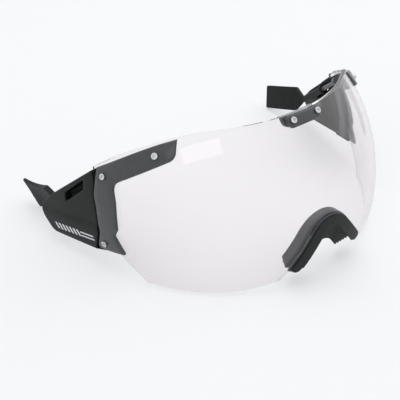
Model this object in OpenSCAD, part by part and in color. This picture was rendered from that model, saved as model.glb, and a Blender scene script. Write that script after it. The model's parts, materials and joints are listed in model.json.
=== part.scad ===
// Clear clip-on face visor with brow brackets, side panels, a nose bridge and
// two sliding rubber temple tabs, resting on a table as it was photographed.
//
// Shapes are drawn in the visor's own frame: x across, y to the rear, z up, with
// the front of the lens at the origin. The finished visor is then leaned back.

/* [Lens] */
// Radius of the lens seen from above
plan_r = 73; // [68:0.5:80]
// Radius of the lens in its side section
side_r = 80.3; // [74:0.5:95]
// Thickness of the clear lens
lens_t = 2; // [1.4:0.1:2.6]
// Height of the top edge at the middle
brow_mid = 25.9; // [22:0.1:30]
// Height of the top edge over each eye
brow_top = 29.8; // [27:0.1:34]
// Radius of the shallow dip of the top edge
dip_r = 185; // [120:5:260]
// Radius of the top edge over each eye
brow_r = 60; // [45:1:90]
// Depth of the cheek lobes
lobe_drop = 36.3; // [32:0.1:42]
// Distance of a lobe's lowest point from the middle
lobe_x = 28; // [25:0.5:32]
// Radius of the lower edge of a lobe
lobe_r = 58; // [48:1:75]
// Radius of the inner corner of a lobe
lobe_corner_r = 7; // [4:0.5:9]

/* [Nose bridge] */
// Height of the arch centre, below the widest height of the lens
arch_drop = 26.8; // [24:0.1:29]
// Outer radius of the arch at the lens
arch_r = 10.4; // [9:0.1:12]
// Widening of the arch for each millimetre of depth
arch_flare = 0.29; // [0.15:0.01:0.4]
// Splay of the outer legs from upright
leg_splay = 34.5; // [30:0.5:40]
// Reach of the legs from the arch centre
leg_reach = 16.2; // [14:0.2:17]
// Wall of the clip that holds the lens
clip_wall = 2; // [1.6:0.1:3]
// How far the clip stands in front of the lens
clip_front = 0.5; // [0.4:0.1:1.2]
// How far the clip reaches behind the front of the lens
clip_back = 6.2; // [5:0.1:9]
// Bite of the lens edge into the clip
lens_bite = 1.1; // [0.6:0.1:1.4]
// Thickness of the pad's front lip
lip_t = 0.8; // [0.6:0.1:1.5]
// Inner radius of the pad at the front
pad_r = 5; // [4.2:0.1:6]
// How far the pad reaches behind the front of the lens
pad_back = 6; // [5:0.1:8]
// Number of ribs across the pad
pad_ribs = 6; // [4:1:7]
// Fall of each rib below the one in front of it
rib_drop = 1.9; // [1.2:0.1:2.2]
// Step of the pad's lip inside the outline of the clip
lip_step = 0.4; // [0.2:0.05:0.6]

/* [Brackets] */
// Thickness of the outer bracket
bracket_t = 1.2; // [1:0.1:1.8]
// Thickness of the inner strips that hold the nuts
backing_t = 1.4; // [1.3:0.1:1.8]
// Gap between the bracket and the side panel
seam = 0.35; // [0.2:0.05:0.6]
// Half width of the centre plate
plate_half = 8.3; // [8:0.1:11]
// Height of the centre plate
plate_h = 4.6; // [4:0.1:6]
// Distance of a centre plate screw from the middle
plate_screw_x = 6; // [4.5:0.1:6.5]

/* [Fasteners] */
// Shank diameter of the screws
screw_d = 1.6; // [1.4:0.1:2]
// Head diameter of the screws
head_d = 2.5; // [2.3:0.1:3]
// Height of a screw head
head_h = 1.1; // [0.8:0.1:1.6]
// Width across flats of the socket
socket_af = 1.3; // [1:0.1:1.5]
// Width across flats of the nuts
nut_af = 3.2; // [3:0.1:3.8]
// Thickness of the nuts, which the inner strips cover
nut_t = 0.9; // [0.7:0.05:1]

/* [Side panels] */
// How far the panel stands outside the lens surface
panel_out = 1; // [0.6:0.1:1.4]
// Wall of the panel
panel_wall = 2.2; // [1.8:0.1:2.8]
// How far the lower facet stands out
facet_rise = 0.7; // [0.4:0.1:1]
// Length of the adjustment slot
slot_len = 14; // [11:0.5:15]
// Height of the adjustment slot
slot_h = 3.9; // [3.4:0.1:4.4]

/* [Temple tabs] */
// Diameter of the guide rod
rod_d = 2.2; // [1.8:0.1:2.6]
// Distance of the rod behind the lens surface
rod_in = 4.9; // [4.8:0.1:5.6]
// Fall of the rod to the rear
rod_slope = 14.5; // [12:0.5:17]
// Running gap between the rod and its sleeve, on the radius
rod_gap = 0.05; // [0.03:0.01:0.1]
// Wall of the rubber sleeve
sleeve_wall = 0.65; // [0.5:0.05:0.9]
// Length of the sleeve
sleeve_len = 25; // [20:0.5:26]
// Diameter of the flexing neck
neck_d = 2.8; // [2.2:0.1:3.2]
// Length of the flexing neck
neck_len = 3; // [2.5:0.1:4]
// Length of the tab's flat
tab_len = 25; // [20:0.5:30]
// Height of the tab's flat
tab_h = 12.6; // [11:0.1:15]
// Thickness of the tab
tab_t = 2.4; // [2:0.1:3.2]
// Roll of the tab from upright
tab_roll = 11; // [5:1:20]
// Diameter of the magnet in the tab
magnet_d = 8; // [6:0.5:10]
// Thickness of the magnet
magnet_t = 1.2; // [0.8:0.1:1.4]

/* [Rest] */
// Lean of the visor on the table
rest_lean = 25; // [22:0.5:28]

/* [Hidden] */

$fn = 120;
grey = "#5c5d62";
black = "#1b1f1f";
rubber = "#222526";
silver = "#c9c9cb";

// Middle of the visor's depth, from the front of the lens, as it rests
middle_y = 52.9;
// Azimuth, from straight ahead, that the bracket outline faces
bracket_az = 58;
// Azimuth from which the side panel runs on straight
panel_az = 77;
// Azimuth and elevation of each bracket screw on the lens surface
screw_at = [[48.5, 18.3], [68, 15.3], [74.4, -3.7]];

// Depth of the lens surface behind its front, at x across, z up and out of the surface
function lens_y(x, z, out = 0) =
    plan_r - sqrt(pow(plan_r - side_r + sqrt(pow(side_r + out, 2) - z * z), 2) - x * x);
// Height of the lobe's lower edge at x across
function lobe_z(x) = lobe_r - lobe_drop - sqrt(lobe_r * lobe_r - pow(x - lobe_x, 2));
// Height over the table of a point of the leaned visor
function rest_z(y, z) = z * cos(rest_lean) - y * sin(rest_lean);
// Where the lower edge of a lobe ends
seat_x = 51;
// Height of the lens's front over the table, on which the inner edge of the lobes rests
seat_z = -min([for (x = [lobe_x : 0.5 : seat_x]) rest_z(lens_y(x, lobe_z(x), -lens_t), lobe_z(x))]);

function unit(v) = v / norm(v);
// Arc of radius r that rounds the corner q between p and s
function corner(p, q, s, r, n) =
    r == 0 ? [q] :
    let (a = unit(p - q), b = unit(s - q), half = acos(a * b) / 2,
        c = q + unit(a + b) * r / sin(half),
        from = q + a * r / tan(half) - c,
        turn = (a[1] * b[0] - a[0] * b[1] > 0 ? 1 : -1) * (180 - 2 * half),
        start = atan2(from[1], from[0]))
    [for (i = [0 : n]) c + r * [cos(start + turn * i / n), sin(start + turn * i / n)]];
// Outline through corners given as [x, y, radius]
function rounded(k, n = 6) = [for (i = [0 : len(k) - 1])
    let (p = k[(i + len(k) - 1) % len(k)], q = k[i], s = k[(i + 1) % len(k)])
    each corner([p[0], p[1]], [q[0], q[1]], [s[0], s[1]], q[2], n)];

// Places the finished visor on the table
module resting() {
    translate([0, -middle_y, seat_z]) rotate([-rest_lean, 0, 0]) children();
}

// Draws on the wearer's left, or its mirror image on the right
module on_side(side) {
    mirror([side < 0 ? 1 : 0, 0, 0]) children();
}

// Turns the front view to face an azimuth
module facing(az) {
    translate([0, plan_r, 0]) rotate([0, 0, az]) translate([0, -plan_r, 0]) children();
}

// Stands on the lens surface, z outward and y up
module on_lens(az, el) {
    facing(az) translate([0, side_r, 0]) rotate([-el, 0, 0]) translate([0, -side_r, 0])
        rotate([90, 0, 0]) children();
}

// Prism of a front view outline, reaching back to depth
module front_prism(depth) {
    translate([0, depth, 0]) rotate([90, 0, 0]) linear_extrude(depth + 12) children();
}

// Shell between two distances outside the lens surface
module shell(inner, outer) {
    translate([0, plan_r, 0]) rotate_extrude($fn = 240) intersection() {
        translate([plan_r - side_r, 0]) difference() {
            circle(side_r + outer, $fn = 240);
            circle(side_r + inner, $fn = 240);
        }
        translate([plan_r / 2, -side_r / 2]) square([plan_r, side_r]);
    }
}

// Shell that leaves the lens surface straight to the rear, in the panel's frame
module panel_shell(inner, outer, run) {
    intersection() {
        translate([0, side_r, 0]) rotate([0, 90, 0]) difference() {
            cylinder(r = side_r + outer, h = run, $fn = 240);
            translate([0, 0, -1]) cylinder(r = side_r + inner, h = run + 2, $fn = 240);
        }
        translate([-1, -5, -side_r / 2]) cube([run + 2, side_r / 2, side_r]);
    }
}

// Area under the top edge of the lens
brow_low = brow_top - brow_r;
brow_x = sqrt(pow(dip_r + brow_r, 2) - pow(brow_mid + dip_r - brow_low, 2));
module under_brow() {
    difference() {
        union() {
            for (s = [-1, 1]) translate([s * brow_x, brow_low]) circle(brow_r);
            join = brow_x * dip_r / (dip_r + brow_r);
            translate([-join, -2 * lobe_drop]) square([2 * join, 2 * lobe_drop + brow_top + 5]);
        }
        translate([0, brow_mid + dip_r]) circle(dip_r, $fn = 360);
    }
}

// Area over the lower edge of the lens
module over_lobes() {
    difference() {
        union() {
            for (s = [-1, 1]) translate([s * lobe_x, lobe_r - lobe_drop]) circle(lobe_r);
            translate([-lobe_x, -lobe_drop]) square([2 * lobe_x, 2 * lobe_drop]);
        }
        for (s = [0, 1]) mirror([s, 0]) translate([lobe_x - lobe_corner_r - 2.5, -lobe_drop])
            difference() {
                translate([-lobe_corner_r - 2, -1]) square([lobe_corner_r + 2, lobe_corner_r + 1]);
                translate([0, lobe_corner_r]) circle(lobe_corner_r);
            }
    }
}

// Rear edge of the lens, faced like the bracket, with the falling end of its top edge
lens_end = 18.5;
function top_line(a) = 25.1 - 0.24 * (a - lens_end);
module behind_lens() {
    polygon(rounded([[-14, -34.5, 0], [7.9, -26, 4.5], [15.8, -10.5, 8], [lens_end, -3, 8],
        [lens_end, top_line(lens_end), 0], [2, top_line(2), 20], [-14, 33, 0],
        [60, 60, 0], [60, -60, 0], [-14, -60, 0]]));
}

// Plug of the nose arch, radius r at the front of the lens, widening by flare
module nose_plug(r, flare, splay) {
    d0 = -6;
    d1 = flare < 0 ? min(24, -r / flare) : 24;
    translate([0, 0, -arch_drop]) {
        translate([0, d0, 0]) rotate([-90, 0, 0])
            cylinder(r1 = r + flare * d0, r2 = max(0.001, r + flare * d1), h = d1 - d0);
        for (s = [0, 1]) mirror([s, 0, 0]) intersection() {
            rotate([-90, 0, 0]) rotate([0, 0, -splay]) translate([0, 60, 0]) rotate([90, 0, 0])
                linear_extrude(60) polygon([[-40, d0], [r + flare * d0, d0], [r + flare * 24, 24], [-40, 24]]);
            translate([0, -10, -60]) cube([60, 60, 120]);
        }
    }
}

// Front view area that the nose legs reach, square to the legs
module leg_area(reach) {
    low = -arch_drop - reach / cos(leg_splay);
    side = 40;
    rise = side * tan(leg_splay);
    polygon([[0, low], [side, low + rise], [side, 20], [-side, 20], [-side, low + rise]]);
}

// Outer corner of a leg's foot
foot_x = leg_reach * sin(leg_splay) + arch_r * cos(leg_splay);
foot_z = arch_r * sin(leg_splay) - leg_reach * cos(leg_splay) - arch_drop;
foot_y = lens_y(foot_x, foot_z);

// Front view area of the pad's lip, whose feet are round
module lip_area() {
    half = (arch_r - lip_step - pad_r) / 2;
    mid = pad_r + half + arch_flare * foot_y;
    q = leg_reach - half;
    leg_area(q);
    for (s = [0, 1]) mirror([s, 0])
        translate([mid * cos(leg_splay) + q * sin(leg_splay),
            mid * sin(leg_splay) - q * cos(leg_splay) - arch_drop]) circle(half);
}

// Space above the end of the clip's legs, which rises to the rear
clip_rise = 55;
module above_clip_foot() {
    translate([-40, foot_y, foot_z + 0.8]) rotate([clip_rise, 0, 0]) translate([0, -60, 0])
        cube([80, 120, 80]);
}

// Space above the end of the pad's flanks, which falls to the rear
flank_fall = 30;
flank_lift = 5.9;
module above_flank_foot() {
    low = arch_drop + leg_reach / cos(leg_splay);
    translate([0, foot_y - 2, flank_lift - low]) rotate([-flank_fall, 0, 0]) translate([0, -20, low])
        front_prism(60) leg_area(leg_reach);
}

// Outline of a bracket, facing its own azimuth; grow moves the rear edge out
module bracket_outline(grow = 0) {
    g = grow;
    polygon(rounded([[-20.8, 33, 0], [-18.6, 22.9, 3.5], [9, 18.2, 3.5], [9.6, 11, 8],
        [12.3, 0, 0.8], [14.7, -2.4, 1], [12.6, -11.3, 0.7], [27 + g, -7.5, 0.8],
        [22.4 + g, -0.4, 6], [20.2 + g, 10, 12], [20 + g, 15, 6], [15.4 + g, top_line(15.4 + g), 0],
        [2, top_line(2), 20], [-14, 33, 0]]));
}

// Layer of a bracket between two distances from the lens surface
module bracket_layer(inner, outer) {
    intersection() {
        shell(inner, outer);
        facing(bracket_az) front_prism(45) bracket_outline();
        front_prism(80) under_brow();
    }
}

// A screw's place in the view that faces the bracket
function screw_point(p) =
    [(plan_r - side_r + side_r * cos(p[1])) * sin(p[0] - bracket_az), side_r * sin(p[1])];

// Outline of the narrow inner strip that runs from screw to screw
strip_half = 2.4;
module strip_outline() {
    h = strip_half;
    p = [for (s = screw_at) screw_point(s)];
    d = unit(p[1] - p[0]);
    e = unit(p[2] - p[1]);
    m = [-d[1], d[0]];
    n = [-e[1], e[0]];
    q = (m + n) / (1 + m * n);
    k = [p[0] + h * (m - d), p[1] + h * q, p[2] + h * (e + n),
        p[2] + h * (e - n), p[1] - h * q, p[0] - h * (m + d)];
    r = [0.92, 1.6, 0.92, 0.92, 1.2, 0.92] * h;
    polygon(rounded([for (i = [0 : 5]) [k[i][0], k[i][1], r[i]]]));
}

// Layer of the centre plate between two distances from the lens surface
module plate_layer(inner, outer) {
    low = brow_mid - plate_h;
    intersection() {
        shell(inner, outer);
        front_prism(30) polygon(rounded([[-plate_half, brow_top, 0], [-plate_half, low, 2.2],
            [plate_half, low, 2.2], [plate_half, brow_top, 0]]));
        front_prism(30) under_brow();
    }
}

// Stands on each screw of one bracket
module at_bracket_screws() {
    for (p = screw_at) on_lens(p[0], p[1]) children();
}

// Stands on each screw of the centre plate
plate_screw_z = brow_mid - plate_h / 2;
module at_plate_screws() {
    el = asin(plate_screw_z / side_r);
    az = asin(plate_screw_x / (plan_r - side_r + side_r * cos(el)));
    for (s = [-1, 1]) on_lens(s * az, el) children();
}

// Clear hole for a screw through every layer
module screw_hole() {
    translate([0, 0, -12]) cylinder(d = screw_d + 0.1, h = 24, $fn = 32);
}

// Flat seat for a screw head, sunk a little into a plate of thickness t
seat_d = head_d + 0.4;
seat_sink = 0.15;
module screw_seat(t) {
    translate([0, 0, t - seat_sink]) cylinder(d = seat_d, h = 3, $fn = 32);
}

// Blind pocket in an inner strip that holds a nut against the lens
nut_gap = 0.05;
module nut_pocket() {
    translate([0, 0, -lens_t - nut_gap - nut_t])
        cylinder(d = nut_af / cos(30) + 0.1, h = nut_t + 2, $fn = 6);
}

// Socket head screw whose head sits on a plate of thickness t
module screw(t) {
    reach = lens_t + nut_gap + nut_t;
    difference() {
        union() {
            translate([0, 0, t - seat_sink]) cylinder(d = head_d, h = head_h, $fn = 48);
            translate([0, 0, -reach]) cylinder(d = screw_d, h = reach + t, $fn = 32);
        }
        translate([0, 0, t - seat_sink + head_h * 0.45])
            cylinder(d = socket_af / cos(30), h = head_h, $fn = 6);
    }
}

// Hexagon nut in its pocket
module nut() {
    translate([0, 0, -lens_t - nut_gap - nut_t]) difference() {
        cylinder(d = nut_af / cos(30), h = nut_t, $fn = 6);
        translate([0, 0, -1]) cylinder(d = screw_d, h = nut_t + 2, $fn = 32);
    }
}

module lens() {
    color("#e9edf0", 0.35) resting() difference() {
        intersection() {
            shell(-lens_t, 0);
            front_prism(80) intersection() {
                under_brow();
                over_lobes();
            }
        }
        nose_plug(arch_r - lens_bite, arch_flare, leg_splay);
        for (side = [-1, 1]) on_side(side) {
            facing(bracket_az) front_prism(60) behind_lens();
            at_bracket_screws() screw_hole();
        }
        at_plate_screws() screw_hole();
    }
}

// Moulded grey arch that grips the edge of the nose opening
module nose_clip() {
    color(grey) resting() difference() {
        intersection() {
            shell(-clip_back, clip_front);
            nose_plug(arch_r, arch_flare, leg_splay);
            front_prism(30) leg_area(leg_reach);
            above_clip_foot();
        }
        nose_plug(arch_r - clip_wall, arch_flare, leg_splay);
        difference() {
            shell(-lens_t, 0);
            nose_plug(arch_r - lens_bite, arch_flare, leg_splay);
        }
    }
}

// Room for the nose at one rib: the arch, lower for each rib to the rear
rib_pitch = (pad_back + clip_front + lip_t) / pad_ribs;
module nose_room(rib) {
    translate([0, 0, -rib * rib_drop]) nose_plug(pad_r, arch_flare, leg_splay);
}

// Soft pad behind the clip, with a thin lip over its front and ribs on its flanks
module nose_pad() {
    front = clip_front + lip_t;
    color(rubber) resting() difference() {
        union() {
            intersection() {
                shell(-pad_back, clip_front);
                nose_plug(arch_r - clip_wall, arch_flare, leg_splay);
                above_flank_foot();
            }
            intersection() {
                shell(clip_front, front);
                nose_plug(arch_r - lip_step, arch_flare, leg_splay);
                front_prism(30) lip_area();
            }
        }
        for (i = [0 : pad_ribs - 1]) intersection() {
            shell(front - (i + 1) * rib_pitch - 0.01, i == 0 ? front + 5 : front - i * rib_pitch);
            nose_room(i);
        }
    }
}

module centre_plate() {
    color(grey) resting() difference() {
        plate_layer(0, bracket_t);
        at_plate_screws() {
            screw_hole();
            screw_seat(bracket_t);
        }
    }
}

module centre_backing() {
    color(grey) resting() difference() {
        plate_layer(-lens_t - backing_t, -lens_t);
        at_plate_screws() nut_pocket();
    }
}

module centre_screws() {
    color(silver) resting() at_plate_screws() screw(bracket_t);
}

module centre_nuts() {
    color(silver) resting() at_plate_screws() nut();
}

module bracket(side) {
    color(grey) resting() on_side(side) difference() {
        bracket_layer(0, bracket_t);
        at_bracket_screws() {
            screw_hole();
            screw_seat(bracket_t);
        }
    }
}

module backing(side) {
    color(grey) resting() on_side(side) difference() {
        intersection() {
            shell(-lens_t - backing_t, -lens_t);
            facing(bracket_az) front_prism(45) strip_outline();
        }
        at_bracket_screws() nut_pocket();
    }
}

module bracket_screws(side) {
    color(silver) resting() on_side(side) at_bracket_screws() screw(bracket_t);
}

module bracket_nuts(side) {
    color(silver) resting() on_side(side) at_bracket_screws() nut();
}

// Side view of the panel in its own frame, a to the rear and z up
tongue_end = 6;
module panel_outline() {
    polygon(rounded([[-20, 28.8, 0], [23.4, 15.9, 0.8], [34.9, 11.2, 1], [33.6, 6.4, 3],
        [29.6, -0.6, 5], [3.8, -7.6, 0], [-20, -14, 0]]));
}

// Area below the crease of the panel
module facet_outline() {
    polygon([[-20, -3.4], [0, 0.9], [25, 6.2], [50, 11.5], [50, -30], [-20, -30]]);
}

// Centre line of the slot and of the rod behind it
slot_mid = [8.6, 16.5];
slot_slope = 19;
module slot_outline() {
    h = slot_h / 2;
    l = slot_len / 2;
    translate(slot_mid) polygon(rounded([[-l - 0.4, h + l * tan(slot_slope), 0.5],
        [l - 0.4, h - l * tan(slot_slope), 0.5],
        [l + 0.4, -h - l * tan(slot_slope), 0.5], [-l + 0.8, -h + l * tan(slot_slope), 0.5]], 4));
}

// Body of the panel: round with the lens in front, straight behind
module panel_body(inner, outer) {
    intersection() {
        shell(inner, outer);
        facing(panel_az) translate([-30, -12, -50]) cube([30, 60, 100]);
    }
    facing(panel_az) panel_shell(inner, outer, 45);
}

module side_panel(side) {
    color(black) resting() on_side(side) difference() {
        intersection() {
            union() {
                panel_body(panel_out - panel_wall, panel_out);
                intersection() {
                    panel_body(-lens_t, 0);
                    facing(panel_az) translate([-30, -12, -50]) cube([30 + tongue_end, 60, 100]);
                }
                intersection() {
                    panel_body(0, panel_out + facet_rise);
                    facing(panel_az) front_prism(30) facet_outline();
                }
            }
            facing(panel_az) front_prism(30) panel_outline();
        }
        // room for the bracket and for the lens
        intersection() {
            shell(0, bracket_t + 4);
            facing(bracket_az) front_prism(45) bracket_outline(seam);
        }
        facing(bracket_az) translate([-60, -12, -50]) cube([60 + lens_end + 0.1, 60, 100]);
        facing(panel_az) front_prism(30) slot_outline();
        at_bracket_screws() screw_hole();
    }
}

// Frame of the rod: x to the rear along it, y inward, from the slot's middle
rod_splay = 6;
module at_rod() {
    at = slot_mid;
    depth = rod_in + side_r - sqrt(side_r * side_r - at[1] * at[1]);
    facing(panel_az) translate([at[0], depth, at[1]]) rotate([0, rod_slope, -rod_splay]) children();
}

// Straight part of the rod and the bend that follows the lens
rod_rear = 12;
rod_fore = 14;
bend_angle = 13;
bend_r = plan_r - rod_in;
// The bent end is drawn a little thinner
bend_d = rod_d - 0.1;
bend_join = 0.4;
module guide_rod(side) {
    color(silver) resting() on_side(side) at_rod() {
        rotate([0, 90, 0]) translate([0, 0, -rod_fore - bend_join])
            cylinder(d = rod_d, h = rod_fore + bend_join + rod_rear, $fn = 48);
        translate([-rod_fore, bend_r, 0]) rotate([0, 0, -90 - bend_angle])
            rotate_extrude(angle = bend_angle, $fn = 200) translate([bend_r, 0]) circle(d = bend_d, $fn = 48);
    }
}

// Collar that holds the front end of the rod against the inner strip
socket_len = 4.5;
socket_d = rod_d + 2.2;
module rod_socket(side) {
    foot = rod_in - lens_t - backing_t;
    color(grey) resting() on_side(side) difference() {
        at_rod() translate([-rod_fore, bend_r, 0]) rotate([0, 0, -90 - bend_angle]) {
            translate([bend_r, 0, 0]) rotate([-90, 0, 0]) union() {
                translate([0, 0, -1]) cylinder(d = socket_d, h = socket_len, $fn = 64);
                translate([0, -socket_d / 2, -1]) cube([foot + 2, socket_d, socket_len]);
            }
        }
        shell(-lens_t - backing_t, 20);
        at_rod() translate([-rod_fore, bend_r, 0]) rotate([0, 0, -90 - bend_angle])
            rotate_extrude(angle = bend_angle, $fn = 200) translate([bend_r, 0]) circle(d = bend_d, $fn = 48);
    }
}

// Rubber sleeve that slides on the rod
sleeve_d = rod_d + 2 * rod_gap + 2 * sleeve_wall;
sleeve_start = -7;
sleeve_end = sleeve_start + sleeve_len;
module sleeve(side) {
    color(rubber) resting() on_side(side) at_rod() rotate([0, 90, 0]) translate([0, 0, sleeve_start])
        difference() {
            union() {
                cylinder(d = sleeve_d, h = sleeve_len, $fn = 64);
                cylinder(d = sleeve_d + 0.7, h = 1.6, $fn = 64);
            }
            translate([0, 0, -1]) cylinder(d = rod_d + 2 * rod_gap, h = rod_rear - sleeve_start + 4, $fn = 64);
        }
}

// Frame of the tab: x to the rear along it, y inward, z up
tab_yaw = 18;
tab_pitch = 18.6;
module at_tab() {
    at_rod() translate([sleeve_end + neck_len, 0, 0]) rotate([0, -tab_pitch, tab_yaw])
        rotate([tab_roll, 0, 0]) children();
}

// Round neck between the sleeve and the foot of the tab
module neck(side) {
    color(rubber) resting() on_side(side) difference() {
        at_rod() translate([sleeve_end, 0, 0]) rotate([0, 90, 0])
            cylinder(d = neck_d, h = neck_len + 1.5, $fn = 48);
        at_tab() translate([0, -10, -10]) cube(20);
    }
}

// Flat rubber tab with a closed pocket for the magnet
shoulder = 6.5;
module tab(side) {
    n = neck_d / 2;
    h = tab_h / 2;
    color(rubber) resting() on_side(side) at_tab() difference() {
        translate([0, tab_t / 2, 0]) rotate([90, 0, 0]) linear_extrude(tab_t)
            polygon(rounded([[0, n, 0], [1, n, 1], [shoulder, h, 1.2], [shoulder + tab_len, h, 1],
                [shoulder + tab_len, -h, 1], [shoulder, -h, 1.2], [1, -n, 1], [0, -n, 0]], 4));
        at_magnet() cylinder(d = magnet_d, h = magnet_t, center = true, $fn = 64);
    }
}

module at_magnet() {
    translate([shoulder + tab_len * 0.62, 0, 0]) rotate([90, 0, 0]) children();
}

module magnet(side) {
    color(silver) resting() on_side(side) at_tab() at_magnet()
        cylinder(d = magnet_d, h = magnet_t, center = true, $fn = 64);
}

lens();
nose_clip();
nose_pad();
centre_plate();
centre_backing();
centre_screws();
centre_nuts();
bracket(1);  // bracket_left
bracket(-1);  // bracket_right
backing(1);  // backing_left
backing(-1);  // backing_right
bracket_screws(1);  // bracket_screws_left
bracket_screws(-1);  // bracket_screws_right
bracket_nuts(1);  // bracket_nuts_left
bracket_nuts(-1);  // bracket_nuts_right
side_panel(1);  // side_panel_left
side_panel(-1);  // side_panel_right
guide_rod(1);  // guide_rod_left
guide_rod(-1);  // guide_rod_right
rod_socket(1);  // rod_socket_left
rod_socket(-1);  // rod_socket_right
sleeve(1);  // sleeve_left
sleeve(-1);  // sleeve_right
neck(1);  // neck_left
neck(-1);  // neck_right
tab(1);  // tab_left
tab(-1);  // tab_right
magnet(1);  // magnet_left
magnet(-1);  // magnet_right
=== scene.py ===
"""Looks of a clear clip-on face visor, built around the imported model."""
import json
import math

import bmesh
import bpy
from mathutils import Matrix, Vector
from mathutils.geometry import delaunay_2d_cdt
from mathutils.kdtree import KDTree


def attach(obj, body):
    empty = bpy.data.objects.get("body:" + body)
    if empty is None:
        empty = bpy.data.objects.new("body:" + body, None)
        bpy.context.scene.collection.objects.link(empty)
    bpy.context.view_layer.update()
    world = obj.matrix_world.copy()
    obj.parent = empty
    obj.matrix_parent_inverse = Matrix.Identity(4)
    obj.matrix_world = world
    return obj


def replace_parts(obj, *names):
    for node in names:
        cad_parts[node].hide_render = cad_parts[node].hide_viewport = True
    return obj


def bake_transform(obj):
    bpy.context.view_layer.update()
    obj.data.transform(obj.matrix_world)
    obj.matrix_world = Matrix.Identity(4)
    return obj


MM = 0.001
CLOSE = 0.000001  # metres within which two points of a mesh are one
SIDES = {"left": 1, "right": -1}

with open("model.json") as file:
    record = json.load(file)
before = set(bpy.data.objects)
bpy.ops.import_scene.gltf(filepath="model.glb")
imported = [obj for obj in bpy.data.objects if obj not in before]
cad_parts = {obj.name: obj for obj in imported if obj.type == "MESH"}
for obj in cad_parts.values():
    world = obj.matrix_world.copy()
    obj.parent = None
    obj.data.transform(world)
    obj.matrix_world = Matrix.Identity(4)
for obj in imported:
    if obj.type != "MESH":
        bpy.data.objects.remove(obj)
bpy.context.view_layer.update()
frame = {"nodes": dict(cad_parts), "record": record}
nodes = frame["nodes"]


def placed(name, data):
    thing = bpy.data.objects.new(name, data)
    bpy.context.scene.collection.objects.link(thing)
    return thing


# Camera
EYE = Vector((-157.729, -187.379, 183.424)) * MM
AHEAD = Vector((0.476044, 0.643781, -0.599106))
UPWARD = Vector((0.366956, 0.473695, 0.800597))
VIEW_ANGLE = math.radians(34.2055)


def place_camera():
    back = -AHEAD.normalized()
    across = UPWARD.cross(back).normalized()
    up = back.cross(across)
    data = bpy.data.cameras.new("camera")
    data.sensor_fit = "HORIZONTAL"
    data.angle = VIEW_ANGLE
    data.clip_start = 0.01
    camera = placed("camera", data)
    camera.matrix_world = Matrix.Translation(EYE) @ Matrix((across, up, back)).transposed().to_4x4()
    bpy.context.scene.camera = camera


# Materials
def new_material(name):
    mat = bpy.data.materials.new(name)
    mat.use_nodes = True
    tree = mat.node_tree
    return mat, tree.nodes, tree.links, tree.nodes["Principled BSDF"]


def noise(n, l, scale, detail):
    where = n.new("ShaderNodeTexCoord")
    node = n.new("ShaderNodeTexNoise")
    node.inputs["Scale"].default_value = scale
    node.inputs["Detail"].default_value = detail
    l.new(where.outputs["Object"], node.inputs["Vector"])
    return node.outputs["Fac"]


def spread(n, l, source, low, high, start=0.3, stop=0.7):
    """Maps a value from the range start to stop onto the range low to high."""
    node = n.new("ShaderNodeMapRange")
    node.inputs["From Min"].default_value = start
    node.inputs["From Max"].default_value = stop
    node.inputs["To Min"].default_value = low
    node.inputs["To Max"].default_value = high
    l.new(source, node.inputs["Value"])
    return node.outputs["Result"]


def tint(n, l, source, dark, light):
    """Mixes two colours, each of them numbers or a socket."""
    node = n.new("ShaderNodeMix")
    node.data_type = "RGBA"
    for name, colour in (("A", dark), ("B", light)):
        socket = next(s for s in node.inputs if s.name == name and s.type == "RGBA")
        if isinstance(colour, (tuple, list)):
            socket.default_value = (*colour, 1)
        else:
            l.new(colour, socket)
    factor = next(s for s in node.inputs if s.name == "Factor" and s.type == "VALUE")
    l.new(source, factor)
    return next(s for s in node.outputs if s.type == "RGBA")


def ramp(n, l, source, first, last, *between):
    """Colours along a value from 0 to 1: at its start, at its end, and at each place between."""
    node = n.new("ShaderNodeValToRGB")
    for stop, colour in zip(node.color_ramp.elements, (first, last)):
        stop.color = (*colour, 1)
    for place, colour in between:
        node.color_ramp.elements.new(place).color = (*colour, 1)
    l.new(source, node.inputs["Fac"])
    return node.outputs["Color"]


def reckon(n, l, operation, one, two):
    """One operation on a socket and a second socket or a number."""
    node = n.new("ShaderNodeMath")
    node.operation = operation
    l.new(one, node.inputs[0])
    if isinstance(two, float):
        node.inputs[1].default_value = two
    else:
        l.new(two, node.inputs[1])
    return node.outputs["Value"]


def surface(n, l, share, one, two, out="Material Output"):
    """Ends a tree of shaders with the mix of two of them."""
    mix = n.new("ShaderNodeMixShader")
    l.new(share, mix.inputs["Fac"])
    l.new(one, mix.inputs[1])
    l.new(two, mix.inputs[2])
    l.new(mix.outputs["Shader"], n[out].inputs["Surface"])


def grain(n, l, shader, scale, depth, strength=0.5):
    bump = n.new("ShaderNodeBump")
    bump.inputs["Strength"].default_value = strength
    bump.inputs["Distance"].default_value = depth
    l.new(noise(n, l, scale, 2.0), bump.inputs["Height"])
    l.new(bump.outputs["Normal"], shader.inputs["Normal"])


# How many noise cells there are in a metre
CLOUDS = 260
GLOSS = 900
SPECKS = 3200


def moulded(name, dark, light, rough, grain_scale, grain_depth, specular=0.5, coat=0.0):
    """Moulded plastic or rubber: fine grain, uneven gloss and colour, and a few light specks."""
    mat, n, l, shader = new_material(name)
    base = tint(n, l, spread(n, l, noise(n, l, CLOUDS, 4.0), 0.0, 1.0), dark, light)
    speck = spread(n, l, noise(n, l, SPECKS, 1.0), 0.0, 0.5, 0.66, 0.74)
    lighter = [min(1.0, c * 1.5 + 0.01) for c in light]
    l.new(tint(n, l, speck, base, lighter), shader.inputs["Base Color"])
    gloss = spread(n, l, noise(n, l, GLOSS, 2.0), rough - 0.05, rough + 0.05)
    l.new(gloss, shader.inputs["Roughness"])
    shader.inputs["Specular IOR Level"].default_value = specular
    if coat:
        shader.inputs["Coat Weight"].default_value = coat
        shader.inputs["Coat Roughness"].default_value = 0.12
        shader.inputs["Coat IOR"].default_value = 1.35
    grain(n, l, shader, grain_scale, grain_depth)
    return mat


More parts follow.
